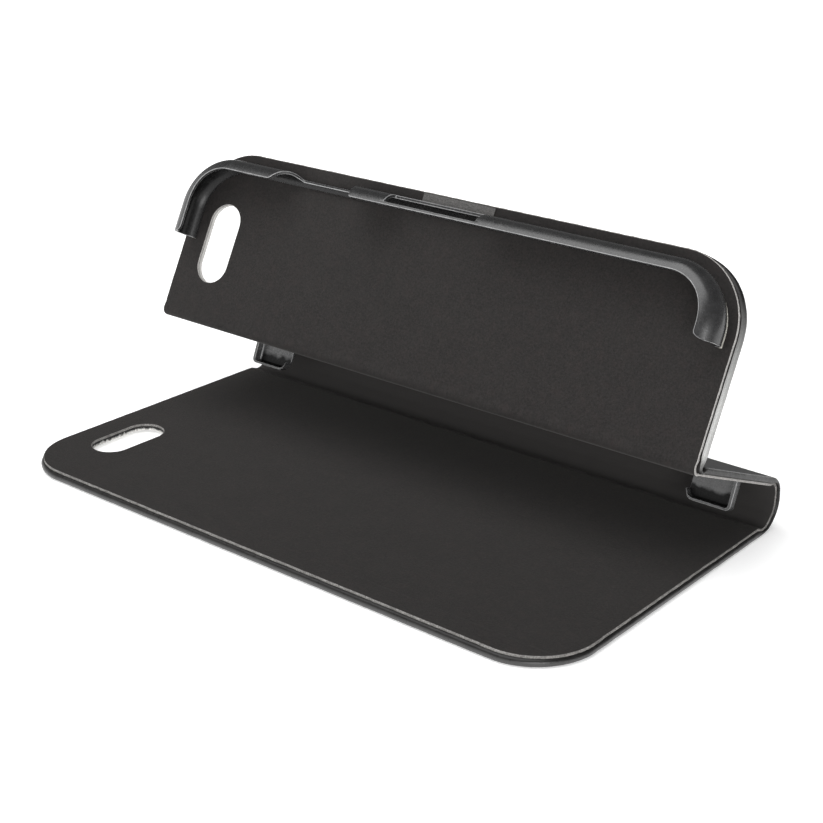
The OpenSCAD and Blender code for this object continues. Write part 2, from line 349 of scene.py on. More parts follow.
def point_in(polygon, x, s):
    """Whether a point is inside a polygon, by counting the edges that a line from it crosses."""
    a, b = polygon, np.roll(polygon, -1, 0)
    crosses = (a[:, 1] > s) != (b[:, 1] > s)
    with np.errstate(divide="ignore", invalid="ignore"):
        at = (b[:, 0] - a[:, 0]) * (s - a[:, 1]) / (b[:, 1] - a[:, 1]) + a[:, 0]
    return bool(np.count_nonzero(crosses & (x < at)) % 2)


def make_plate(name, s0, s1, far, r, half, low, high, profile, hole, hole_profile, material, extra):
    """A skin from s0 to s1. far is the rounded end's station, or None for a strip cut at both ends.

    profile gives (inset, share of the height, material) from the rim's bottom edge to its top edge."""
    plate = Plate()
    rows = s_rows(s0, s1)
    if far is not None:
        cut = s1 if far == s0 else s0
        paths = [rim_path(cut, far, half, r)]
        cuts = [cut]
    else:
        side = s_rows(s0, s1, RIM_STEP)
        left = (np.array([(-half, v) for v in side]), np.array([(1.0, 0.0)] * len(side)))
        right = (np.array([(half, v) for v in side[::-1]]), np.array([(-1.0, 0.0)] * len(side)))
        paths, cuts = [left, right], [s0, s1]
    bottoms, tops = [], []

    def wall(pts, nrm, shape, closed):
        rings = []
        for inset, share, mat in shape(pts, nrm):
            p = pts + nrm * inset[:, None]
            n = low(p[:, 1]) * (1 - share) + high(p[:, 1]) * share
            rings.append((plate.add(p[:, 0], p[:, 1], n), mat))
        for (a, _), (b, mat) in zip(rings[:-1], rings[1:]):
            plate.strip(a, b, mat, closed)
        bottoms.append((rings[0][0], closed))
        tops.append((rings[-1][0], closed))

    for pts, nrm in paths:
        wall(pts, nrm, profile, False)
    if hole:
        wall(*pill_path(*hole), hole_profile, True)
    holes = [hole] if hole else []
    plate.fill(bottoms, holes, low, rows, half, True, cuts)
    plate.fill(tops, holes, high, rows, half, False, cuts)
    return plate.build(name, material, extra)


def leather_margin(pts, nrm):
    """How much further out than PROUD the turned edge stands.

    It is fuller at the right and the front, and almost flush at the top."""
    right = smooth(pts[:, 1] / 32) * 0.6
    ends = np.where(nrm[:, 1] > 0.0, 0.4, -0.42)
    rough = frayed(pts, 77.0, 0.05, 0.35)
    square = nrm[:, 1] ** 4
    return (1 - square) * np.where(nrm[:, 0] < 0, right, 0.0) + square * ends + rough


def leather_rim(pts, nrm):
    """Round turned edge, fuller above than below."""
    thick = layer(pts[:, 1], "between") - layer(pts[:, 1], "outer")
    margin = leather_margin(pts, nrm)
    out = []
    for k in range(13):
        a = -math.pi / 2 + math.pi * k / 12
        out.append((thick / 2 * (1 - math.cos(a)) - margin, 0.5 + 0.5 * math.sin(a), 1))
    return out


def leather_hole_rim(pts, nrm):
    """The skin is cut wider than the board, and more so in the cover, so the board's edge shows in the hole."""
    more = np.where(pts[:, 1] < 0, 0.75, 0.0)
    return [(0.75 + more, 0.0, 1), (0.58 + more, 0.06, 1), (0.5 + more, 0.2, 1),
            (0.5 + more, 0.37, 1), (0.55 + more, 1.0, 0)]


def lining_rim(seed):
    """The lining's cut edge, frayed along its foot and almost even along its top."""
    def profile(pts, nrm):
        rough = frayed(pts, seed, 0.11, 1.7)
        return [(0.02 + rough, 0.0, 1), (rough, 0.25, 1), (rough * 0.8 - 0.02, 0.7, 1),
                (0.05 + rough * 0.6, 0.93, 1), (0.14 + rough * 0.3, 1.0, 1), (0.3 + 0 * rough, 1.02, 0)]
    return profile


# ---------------------------------------------------------------- materials
def material(name):
    m = bpy.data.materials.new(name)
    m.use_nodes = True
    m.node_tree.nodes.clear()
    return m


class Nodes:
    """Short names for the shader nodes that the materials share."""

    def __init__(self, m):
        self.t = m.node_tree
        self.out = self.t.nodes.new("ShaderNodeOutputMaterial")
        self.bsdf = self.t.nodes.new("ShaderNodeBsdfPrincipled")
        self.t.links.new(self.bsdf.outputs[0], self.out.inputs["Surface"])

    def new(self, kind, **inputs):
        node = self.t.nodes.new(kind)
        for k, v in inputs.items():
            self.feed(node, k.replace("_", " "), v)
        return node

    def feed(self, node, key, value):
        socket = node.inputs[key]
        if isinstance(value, bpy.types.NodeSocket):
            self.t.links.new(value, socket)
        else:
            socket.default_value = value

    def attribute(self, name, output):
        a = self.t.nodes.new("ShaderNodeAttribute")
        a.attribute_name = name
        return a.outputs[output]

    def scaled(self, vector, scale):
        m = self.t.nodes.new("ShaderNodeVectorMath")
        m.operation = "SCALE"
        self.t.links.new(vector, m.inputs[0])
        m.inputs["Scale"].default_value = scale
        return m.outputs[0]

    def axis(self, vector, k):
        xyz = self.t.nodes.new("ShaderNodeSeparateXYZ")
        self.t.links.new(vector, xyz.inputs[0])
        return xyz.outputs[k]

    def place(self):
        """Coordinates on the flat case, in millimetres."""
        return self.scaled(self.attribute("flat_mm", "Vector"), 1.0)

    def object_place(self, scale=1.0):
        """The object's own coordinates, in millimetres, scaled."""
        return self.scaled(self.t.nodes.new("ShaderNodeTexCoord").outputs["Object"], scale * 1000)

    def noise(self, at, scale=1.0, detail=3.0, rough=0.5):
        n = self.new("ShaderNodeTexNoise", Vector=at, Scale=scale, Detail=detail, Roughness=rough)
        return n.outputs["Fac"]

    def cells(self, at, scale):
        """Distance to the nearest edge of a net of cells, as in a leather's grain."""
        n = self.t.nodes.new("ShaderNodeTexVoronoi")
        n.feature = "DISTANCE_TO_EDGE"
        self.feed(n, "Vector", at)
        n.inputs["Scale"].default_value = scale
        return n.outputs["Distance"]

    def ramp(self, value, a, b, lo, hi):
        n = self.new("ShaderNodeMapRange", Value=value)
        n.inputs["From Min"].default_value = a
        n.inputs["From Max"].default_value = b
        n.inputs["To Min"].default_value = lo
        n.inputs["To Max"].default_value = hi
        return n.outputs[0]

    def math(self, op, a, b):
        n = self.t.nodes.new("ShaderNodeMath")
        n.operation = op
        self.feed(n, 0, a)
        self.feed(n, 1, b)
        return n.outputs[0]

    def mix(self, factor, a, b):
        n = self.t.nodes.new("ShaderNodeMix")
        n.data_type = "RGBA"
        self.feed(n, 0, factor)
        for key, value in ((6, a), (7, b)):
            if isinstance(value, bpy.types.NodeSocket):
                self.t.links.new(value, n.inputs[key])
            else:
                n.inputs[key].default_value = (*value, 1.0)
        return n.outputs[2]

    def bump(self, height, strength, distance_mm, normal=None):
        n = self.new("ShaderNodeBump", Height=height, Strength=strength)
        n.inputs["Distance"].default_value = distance_mm * MM
        if normal is not None:
            self.t.links.new(normal, n.inputs["Normal"])
        return n.outputs[0]

    def flat_axis(self, k):
        """The flat case's own coordinates: 0 along it, 1 along its section, 2 off its mid-plane."""
        return self.axis(self.attribute("flat_mm", "Vector"), k)

    def along_section(self, start, end):
        """0 before start and 1 past end, along the case's section."""
        return self.ramp(self.flat_axis(1), start, end, 0.0, 1.0)

    def set(self, **inputs):
        for k, v in inputs.items():
            key = k.replace("_", " ")
            if key == "Base Color" and not isinstance(v, bpy.types.NodeSocket):
                v = (*v, 1.0)
            self.feed(self.bsdf, key, v)


def leather_material(name, specular, coat, painted_highlight_and_shine=False):
    """Fine-grained leather. For the turned edge, it has a pale painted highlight on the rim's lower half by the
    stand fold, and is shinier under the cover.
    """
    m = material(name)
    n = Nodes(m)
    at = n.place()
    cells = n.cells(at, 2.6)
    fine = n.noise(at, 5.0, 4.0, 0.6)
    wrinkle = n.noise(at, 0.9, 3.0, 0.55)
    wide = n.noise(at, 0.25, 3.0, 0.5)
    color = n.mix(n.ramp(wide, 0.35, 0.7, 0.0, 1.0), (0.0125, 0.0120, 0.0118), (0.021, 0.020, 0.0195))
    if painted_highlight_and_shine:
        off = n.flat_axis(2)
        # Painted highlight: the pale colour on the rim's lower half by the stand fold stands in for the floor's
        # reflection.
        painted_highlight = n.math("MULTIPLY", n.along_section(S_FOLD, S_FOLD + 3.0),
                      n.along_section(S_FOLD + 33.0, S_FOLD + 12.0))
        painted_highlight = n.math("MULTIPLY", painted_highlight, n.ramp(off, -0.50, -0.15, 0.06, 1.0))
        color = n.mix(painted_highlight, color, n.mix(fine, (0.16, 0.16, 0.157), (0.62, 0.62, 0.61)))
        shiny = n.math("MULTIPLY", n.along_section(-1.0, -4.0), n.ramp(off, 0.35, -0.15, 0.10, 1.0))
        shiny = n.math("MULTIPLY", shiny, n.ramp(off, -0.95, -0.70, 0.25, 1.0))
        specular = n.math("MAXIMUM", n.ramp(painted_highlight, 0.0, 1.0, 0.25, specular), n.math("MULTIPLY", shiny, 0.8))
    n.set(Base_Color=color, Roughness=n.ramp(n.noise(at, 1.3, 4.0, 0.6), 0.3, 0.75, 0.24, 0.42))
    h = n.bump(cells, 0.35, 0.05)
    h = n.bump(fine, 0.4, 0.03, h)
    h = n.bump(wrinkle, 0.35, 0.12, h)
    n.set(Normal=h, Specular_IOR_Level=specular, Coat_Weight=coat, Coat_Roughness=0.32)
    return m


def lining_material():
    """Matte microfibre, a little paler where it is stretched over the spine."""
    m = material("lining")
    n = Nodes(m)
    at = n.place()
    mottled = n.noise(at, 0.14, 5.0, 0.62)
    nap = n.noise(at, 1.9, 4.0, 0.75)
    fibre = n.noise(at, 5.5, 3.0, 0.7)
    warm = n.noise(at, 0.6, 3.0, 0.6)
    dark = n.mix(n.ramp(mottled, 0.32, 0.70, 0.0, 1.0), (0.0076, 0.0068, 0.0066), (0.0106, 0.0096, 0.0093))
    tint = n.mix(n.ramp(warm, 0.48, 0.75, 0.0, 0.5), dark, (0.021, 0.0150, 0.0142))
    color = n.mix(n.ramp(nap, 0.38, 0.66, 0.0, 0.50), tint, (0.027, 0.0242, 0.0233))
    color = n.mix(n.ramp(fibre, 0.45, 0.75, 0.0, 0.3), color, (0.046, 0.042, 0.040))
    stretched = n.math("MULTIPLY", n.along_section(-0.8, 0.6), n.along_section(S_SPINE + 2.0, S_SPINE - 0.5))
    color = n.mix(stretched, color, (0.032, 0.0300, 0.0290))
    n.set(Base_Color=color, Roughness=0.88, Specular_IOR_Level=0.25, Sheen_Weight=0.08, Sheen_Roughness=0.5)
    n.bsdf.inputs["Sheen Tint"].default_value = (1.0, 0.97, 0.94, 1.0)
    h = n.bump(nap, 0.45, 0.10)
    h = n.bump(fibre, 0.4, 0.06, h)
    # It sinks a little where the turned-in leather under it ends, near the front cover's free edge.
    h = n.bump(n.along_section(S_FRONT + 5.2, S_FRONT + 4.7), 0.5, 0.10, h)
    n.set(Normal=h)
    return m


def cut_edge_material():
    """Pale fibres of the lining's cut edge, palest past the spine."""
    m = material("lining_cut_edge")
    n = Nodes(m)
    at = n.place()
    fibre = n.noise(at, 4.5, 4.0, 0.8)
    patch = n.noise(at, 0.8, 3.0, 0.6)
    color = n.mix(n.ramp(fibre, 0.36, 0.66, 0.0, 1.0), (0.07, 0.066, 0.063), (0.40, 0.39, 0.375))
    color = n.mix(n.ramp(patch, 0.42, 0.72, 0.0, 0.6), color, (0.085, 0.08, 0.077))
    palest = n.math("MULTIPLY", n.along_section(S_SPINE + 1.0, S_SPINE + 5.0),
                    n.ramp(fibre, 0.3, 0.6, 0.2, 0.75))
    color = n.mix(palest, color, (0.50, 0.485, 0.47))
    n.set(Base_Color=color, Roughness=0.95, Specular_IOR_Level=0.2, Normal=n.bump(fibre, 0.8, 0.1))
    return m


def plastic_material(name, low, high, specular=0.65, painted_shade=False):
    """Semi-gloss moulded plastic. With painted shade, it has a dark painted patch of shade inside the lower
    clips, low on the back wall by the lip.
    """
    m = material(name)
    n = Nodes(m)
    at = n.object_place()
    fine = n.noise(at, 5.0, 3.0, 0.6)
    color = n.mix(n.ramp(n.noise(at, 0.6, 3.0, 0.5), 0.35, 0.7, 0.0, 1.0), low, high)
    if painted_shade:
        # Painted shade: the back wall goes dark and less shiny low down, by the lip.
        height = n.attribute("inside_mm", "Fac")
        edge = n.math("ADD", height, n.ramp(n.noise(at, 0.35, 3.0, 0.6), 0.3, 0.7, -0.7, 0.7))
        dark = n.math("MULTIPLY", n.ramp(edge, 3.4, 4.3, 0.0, 1.0), n.ramp(height, 6.3, 6.1, 0.0, 1.0))
        color = n.mix(dark, color, (0.008, 0.008, 0.008))
        specular = n.ramp(dark, 0.0, 1.0, specular, 0.12)
    n.set(Base_Color=color, Roughness=n.ramp(n.noise(at, 1.4, 4.0, 0.6), 0.3, 0.75, 0.22, 0.32),
          Specular_IOR_Level=specular, Normal=n.bump(fine, 0.2, 0.025))
    return m


def plate_material():
    m = material("plate")
    n = Nodes(m)
    at = n.object_place()
    grain = n.noise(at, 4.0, 4.0, 0.8)
    color = n.mix(n.ramp(grain, 0.35, 0.7, 0.0, 1.0), (0.030, 0.029, 0.028), (0.17, 0.165, 0.16))
    n.set(Base_Color=color, Roughness=n.ramp(grain, 0.3, 0.7, 0.35, 0.6), Metallic=0.3,
          Normal=n.bump(grain, 0.7, 0.06))
    return m


def board_material(name="board", dark_top=False):
    """Pale card. With a dark top, it is darker towards its top, as in the wall of the cover's hole."""
    m = material(name)
    n = Nodes(m)
    at = n.object_place()
    flecks = n.noise(at, 1.8, 5.0, 0.7)
    color = n.mix(n.ramp(flecks, 0.35, 0.7, 0.0, 1.0), (0.62, 0.61, 0.585), (0.78, 0.77, 0.745))
    if dark_top:
        edge = n.math("ADD", n.axis(at, 2), n.ramp(n.noise(at, 1.1, 4.0, 0.7), 0.3, 0.7, -0.35, 0.35))
        color = n.mix(n.ramp(edge, 0.75, 1.25, 0.0, 1.0), color, (0.012, 0.0115, 0.011))
    n.set(Base_Color=color, Roughness=0.9, Normal=n.bump(flecks, 0.5, 0.06))
    return m


def tape_material():
    m = material("tape")
    n = Nodes(m)
    at = n.object_place()
    web = n.noise(at, 2.5, 4.0, 0.6)
    color = n.mix(n.ramp(web, 0.4, 0.65, 0.0, 1.0), (0.52, 0.50, 0.45), (0.68, 0.66, 0.60))
    n.set(Base_Color=color, Roughness=0.5, Normal=n.bump(web, 0.3, 0.04))
    return m


M_LEATHER = leather_material("outer_leather", 0.0, 0.18)
M_RIM = leather_material("turned_edge", 0.5, 0.0, True)
M_LINING, M_CUT = lining_material(), cut_edge_material()
M_PLASTIC = plastic_material("rail_plastic", (0.020, 0.020, 0.0205), (0.028, 0.028, 0.0285))
# Pale plastic for the bevelled edges: a painted highlight along each rounded edge.
M_EDGE_HIGHLIGHT = plastic_material("rail_edge_highlight", (0.20, 0.20, 0.202), (0.30, 0.30, 0.302))
# A darker, less shiny copy of the rail's plastic for the channel's inner wall: painted shade.
M_INSIDE_SHADE = plastic_material("rail_inside_shade", (0.008, 0.008, 0.0082), (0.012, 0.012, 0.0122), 0.25)
# Painted light: the clips are the rail's plastic made paler, as if better lit.
M_CLIP = plastic_material("clip_plastic", (0.056, 0.056, 0.0565), (0.080, 0.080, 0.0805), 0.7, True)
M_PLATE, M_BOARD, M_TAPE = plate_material(), board_material(), tape_material()

# ---------------------------------------------------------------- leather and lining pieces
HOLE_X, HOLE_WIDTH, HOLE_LENGTH = -HALF + 10.8, 8.86, 18.46
COVER_HOLE = (HOLE_X, S_FRONT + 22.2, HOLE_WIDTH, HOLE_LENGTH)
PANEL_HOLE = (HOLE_X, S_TOP - 21.8, HOLE_WIDTH, HOLE_LENGTH)


def outer(s):
    return layer(s, "outer")


def between(s):
    return layer(s, "between")


def inner(s):
    return layer(s, "inner")


def leather_piece(name, s0, s1, far=None, r=0, hole=None):
    """Leather from s0 to s1, standing PROUD of the lining at its sides and its rounded far end."""
    if far is not None and far == s0:
        s0 = far = far - PROUD
    elif far is not None:
        s1 = far = far + PROUD
    return make_plate(name, s0, s1, far, r + PROUD, HALF + PROUD, outer, between, leather_rim, hole,
                      leather_hole_rim, M_LEATHER, [M_RIM])


def lining_piece(name, s0, s1, seed, far=None, r=0, hole=None):
    """Lining from s0 to s1, glued on the leather's inner face and cut off flush with the boards."""
    return make_plate(name, s0, s1, far, r, HALF, between, inner, lining_rim(seed), hole,
                      lining_rim(seed + 3), M_LINING, [M_CUT])


def across(obj):
    """Bakes the skin's placement into its points."""
    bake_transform(obj)


cover_leather = leather_piece("cover_leather", S_FRONT, MID_SPINE, S_FRONT, COVER_R, COVER_HOLE)
flap_leather = leather_piece("flap_leather_strip", MID_SPINE, MID_FLAP)
panel_leather = leather_piece("panel_leather", MID_FLAP, S_TOP, S_TOP, PANEL_R, PANEL_HOLE)
cover_lining = lining_piece("cover_lining", S_FRONT, MID_SPINE, 1.0, S_FRONT, COVER_R, COVER_HOLE)
flap_lining = lining_piece("flap_lining_strip", MID_SPINE, MID_FLAP, 20.0)
panel_lining = lining_piece("panel_lining", MID_FLAP, S_TOP, 40.0, S_TOP, PANEL_R, PANEL_HOLE)

for piece, a, b, crease in ((cover_leather, "front_cover", "spine", 0),
                            (cover_lining, "front_cover", "spine", 0),
                            (flap_leather, "spine", "flap", 1), (flap_lining, "spine", "flap", 1),
                            (panel_leather, "flap", "upper_panel", 2),
                            (panel_lining, "flap", "upper_panel", 2)):
    across(piece)
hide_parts("front_cover_leather", "cover_crease")
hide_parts("spine_leather", "spine_crease")
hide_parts("upper_panel_leather", "flap_leather", "stand_crease")
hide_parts("front_cover_lining")
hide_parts("spine_lining")
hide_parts("upper_panel_lining", "flap_lining")

STAY_T, STAY_END, STAY_SIDE = 0.25, 1.6, 2.0


def stay_piece():
    """The thin strip that keeps the spine's curve, between its leather and its lining."""
    plate = Plate()
    xs = np.linspace(-HALF + STAY_SIDE, HALF - STAY_SIDE, 60)

    def rows(height):
        stations = [np.full(len(xs), s) for s in np.linspace(STAY_END, SPINE_D - STAY_END, 30)]
        return [plate.add(xs, s, outer(s) + height) for s in stations]

    lower, upper = rows(SKIN), rows(SKIN + STAY_T)
    for a, b, c, d in zip(lower[:-1], lower[1:], upper[:-1], upper[1:]):
        plate.strip(a, b)
        plate.strip(d, c)
    plate.strip(upper[0], lower[0])
    plate.strip(lower[-1], upper[-1])
    for k in (0, -1):
        plate.strip([row[k] for row in lower], [row[k] for row in upper])
    return plate.build("spine_stay_strip", M_BOARD, [M_BOARD])


stay = stay_piece()
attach(stay, "spine")
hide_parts("spine_stay")

# ---------------------------------------------------------------- the phone rail
PHONE_L, PHONE_T, PHONE_R, WALL = 138.3, 6.9, 11.6, 0.7
RAIL_HALF, RAIL_TOP, RAIL_R = PHONE_L / 2 + WALL, PANEL_D - 2.6, PHONE_R + WALL
EASE = 0.05
GRIP_RI = PHONE_T / 2 + EASE
GRIP_RO = GRIP_RI + WALL
GRIP_Z = PHONE_T / 2 - EASE
PANEL_FACE, TAPE_T = 1.0, 0.12
RAIL_BASE = PANEL_FACE + TAPE_T
GRIP_LEFT, GRIP_RIGHT = PANEL_D - 22.0, PANEL_D - 16.9
GAP_LEFT, GAP_RIGHT = (-45.0, -39.6), (-24.6, -21.2)
SLOT_HALF, SLOT_ROWS = 12.0, (8, 22)
LOWER_ROWS, UPPER_ROWS = 4, 24
FOOT_OUT, FOOT_IN, FOOT_DEPTH = math.radians(-54), math.radians(-57), 2.3
LIP, LIP_MORE, LIP_END_DROP, LIP_END = math.radians(73), math.radians(12), math.radians(34), 1.3


def on_panel(x, v, n):
    """Panel coordinates to the row frame: v up the panel from the fold, n off its mid-plane."""
    x, v, n = (np.asarray(t, float) for t in (x, v, n))
    c, s = math.cos(A_PANEL), math.sin(A_PANEL)
    return np.stack([x, FOLD_AXIS[0] + v * c - n * s, FOLD_AXIS[1] + v * s + n * c], -1) * MM


def rail_stations():
    """Points round the rail's outside, from the left grip's end to the right one's.

    Each is x, v and the direction inward in x and v."""
    corner = RAIL_TOP - RAIL_R
    out = []
    for v in np.linspace(GRIP_LEFT, corner, 34)[:-1]:
        out.append((-RAIL_HALF, v, 1.0, 0.0))
    for a in np.linspace(0, 1, 33) * math.pi / 2:
        out.append((-RAIL_HALF + RAIL_R * (1 - math.cos(a)), corner + RAIL_R * math.sin(a),
                    math.cos(a), -math.sin(a)))
    corner_x = RAIL_HALF - RAIL_R
    fine_from, fine_to = -47.0, -16.0
    stretches = (np.linspace(-corner_x, fine_from, 9)[1:-1], np.arange(fine_from, fine_to, 0.4),
                 np.linspace(-15.4, -SLOT_HALF, 4), np.linspace(-SLOT_HALF, SLOT_HALF, 19),
                 np.linspace(SLOT_HALF, corner_x, 34)[1:-1])
    for x in sorted(set(np.round(np.concatenate(stretches), 3))):
        out.append((float(x), RAIL_TOP, 0.0, -1.0))
    for a in np.linspace(1, 0, 33) * math.pi / 2:
        out.append((RAIL_HALF - RAIL_R * (1 - math.cos(a)), corner + RAIL_R * math.sin(a),
                    -math.cos(a), -math.sin(a)))
    for v in np.linspace(corner, GRIP_RIGHT, 24)[1:]:
        out.append((RAIL_HALF, v, -1.0, 0.0))
    return np.array(out)


GAP_HEIGHT = 1.0
RAIL_LOW = math.asin((GAP_HEIGHT - GRIP_Z) / GRIP_RO)


def is_straight(stations):
    """Which stations are on the rail's long straight stretch."""
    return np.abs(stations[:, 3] + 1) < 1e-6


def rail_top_angle(stations):
    """How far round its arc the wall reaches at each station, in radians above the level."""
    x, v = stations[:, 0], stations[:, 1]
    full = LIP + LIP_MORE * smooth((RAIL_TOP - v) / RAIL_R)
    tip = np.minimum(np.where(x < 0, v - GRIP_LEFT, v - GRIP_RIGHT) / LIP_END, 1.0)
    full = full - LIP_END_DROP * (1 - np.sqrt(np.clip(1 - (1 - tip) ** 2, 0, 1)))
    z_full = GRIP_RO * np.sin(full)
    z_low = GRIP_RO * math.sin(RAIL_LOW)
    left = (x - GAP_LEFT[1]) / (GAP_LEFT[0] - GAP_LEFT[1])
    right = (x - GAP_RIGHT[0]) / (GAP_RIGHT[1] - GAP_RIGHT[0])
    share = np.where(x < (GAP_LEFT[1] + GAP_RIGHT[0]) / 2, smooth(left), smooth(right))
    share = np.where(is_straight(stations), share, 1.0)
    z = z_low + (z_full - z_low) * share
    top = np.arcsin(np.clip(z / GRIP_RO, -1, 1))
    return np.where(share > 0.999, full, top)


def rail_mesh(st):
    """Points and faces of the moulding, and which of its faces are on the channel's wall."""
    top = rail_top_angle(st)
    low = RAIL_LOW
    rows, count = LOWER_ROWS + UPPER_ROWS, len(st)
    outer_id, inner_id = np.zeros((rows + 1, count), int), np.zeros((rows + 1, count), int)
    verts = []

    def add(i, d, z):
        x, v, ix, iv = st[i]
        verts.append(on_panel(x + ix * d, v + iv * d, RAIL_BASE + z))
        return len(verts) - 1

    for i in range(count):
        for j in range(rows + 1):
            if j <= LOWER_ROWS:
                t = j / LOWER_ROWS
                ao, ai = FOOT_OUT + (low - FOOT_OUT) * t, FOOT_IN + (low - FOOT_IN) * t
            else:
                t = (j - LOWER_ROWS) / UPPER_ROWS
                ao = ai = low + (top[i] - low) * t
            outer_id[j, i] = add(i, GRIP_RO - GRIP_RO * math.cos(ao), GRIP_Z + GRIP_RO * math.sin(ao))
            inner_id[j, i] = add(i, GRIP_RO - GRIP_RI * math.cos(ai), GRIP_Z + GRIP_RI * math.sin(ai))
    foot_in = [add(i, FOOT_DEPTH, 0.0) for i in range(count)]
    faces, inside = [], []
    straight, zero = is_straight(st), top - low < 1e-4

    def solid(j, i):
        if j < 0 or j >= rows or i < 0 or i >= count - 1:
            return False
        if j >= LOWER_ROWS and zero[i] and zero[i + 1]:
            return False
        in_slot = straight[i] and st[i][0] >= -SLOT_HALF - 0.001 and st[i + 1][0] <= SLOT_HALF + 0.001
        return not (in_slot and SLOT_ROWS[0] <= j - LOWER_ROWS < SLOT_ROWS[1])

    for i in range(count - 1):
        for j in range(rows):
            if not solid(j, i):
                continue
            a, b, c, d = outer_id[j, i], outer_id[j, i + 1], outer_id[j + 1, i + 1], outer_id[j + 1, i]
            e, f, g, h = inner_id[j, i], inner_id[j, i + 1], inner_id[j + 1, i + 1], inner_id[j + 1, i]
            faces.append((a, b, c, d))
            inside.append(len(faces))
            faces.append((h, g, f, e))
            if not solid(j + 1, i):
                faces.append((d, c, g, h))
            if j > 0 and not solid(j - 1, i):
                faces.append((a, b, f, e))
            if not solid(j, i - 1):
                faces.append((a, d, h, e))
            if not solid(j, i + 1):
                faces.append((b, c, g, f))
        faces.append((foot_in[i], foot_in[i + 1], inner_id[0, i + 1], inner_id[0, i]))
        faces.append((outer_id[0, i], outer_id[0, i + 1], foot_in[i + 1], foot_in[i]))
    for i in (0, count - 1):
        faces.append((outer_id[0, i], inner_id[0, i], foot_in[i]))
    return verts, faces, inside


def build_rail():
    """The phone rail, with its edges bevelled where they stand clear of the lining."""
    verts, faces, inside = rail_mesh(rail_stations())
    obj = mesh_object("phone_rail_moulding", verts, faces, M_PLASTIC, extra=[M_EDGE_HIGHLIGHT, M_INSIDE_SHADE])
    # The channel's inner faces get the painted shade material.
    if len(obj.data.polygons) == len(faces):
        for k in inside:
            obj.data.polygons[k].material_index = 2
    bm = cleaned(obj, 1e-7)
    weight = bm.edges.layers.float.new("bevel_weight_edge")
    c, s = math.cos(A_PANEL), math.sin(A_PANEL)

    def height(v):
        return (v.co.z / MM - FOLD_AXIS[1]) * c - (v.co.y / MM - FOLD_AXIS[0]) * s - RAIL_BASE

    for e in bm.edges:
        clear = min(height(v) for v in e.verts) > 0.6
        if clear and len(e.link_faces) == 2 and e.calc_face_angle() > math.radians(40):
            e[weight] = 1.0
    bm.to_mesh(obj.data)
    bm.free()
    round_edges(obj, 0.14).limit_method = "WEIGHT"
    return obj


def cleaned(obj, distance):
    """The object's mesh as a bmesh, with no doubled points or empty faces and with its normals outward."""
    bm = bmesh.new()
    bm.from_mesh(obj.data)
    bmesh.ops.remove_doubles(bm, verts=bm.verts, dist=distance)
    bmesh.ops.dissolve_degenerate(bm, dist=distance, edges=bm.edges)
    bmesh.ops.recalc_face_normals(bm, faces=bm.faces)
    return bm


def round_edges(obj, width_mm, angle=40):
    """Bevels the edges that are sharper than an angle, in the object's second material, which paints a
    highlight on them.
    """
    b = obj.modifiers.new("round", "BEVEL")
    b.width = width_mm * MM
    b.segments = 2
    b.limit_method = "ANGLE"
    b.angle_limit = math.radians(angle)
    b.use_clamp_overlap = False
    b.harden_normals = False
    b.material = 1
    b.miter_outer = "MITER_ARC"
    return b


rail = build_rail()
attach(rail, "upper_panel")
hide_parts("phone_rail")

# ---------------------------------------------------------------- lower clips
CLIP_L, CLIP_D, CLIP_INSET, CLIP_H, CLIP_LIP = 10.6, 2.7, 4.6, 6.9, 0.5
PHONE_W = 67.1
CLIP_BACK = FLAP_D - (PHONE_W - (RAIL_TOP - WALL)) - WALL


def on_flap(x, v, n):
    """Flap coordinates to the row frame: v along the flap from the spine, n off its mid-plane."""
    x, v, n = (np.asarray(t, float) for t in (x, v, n))
    c, s = math.cos(A_FLAP), math.sin(A_FLAP)
    return np.stack([x, SPINE_AXIS[0] + v * c - n * s, SPINE_AXIS[1] + v * s + n * c], -1) * MM


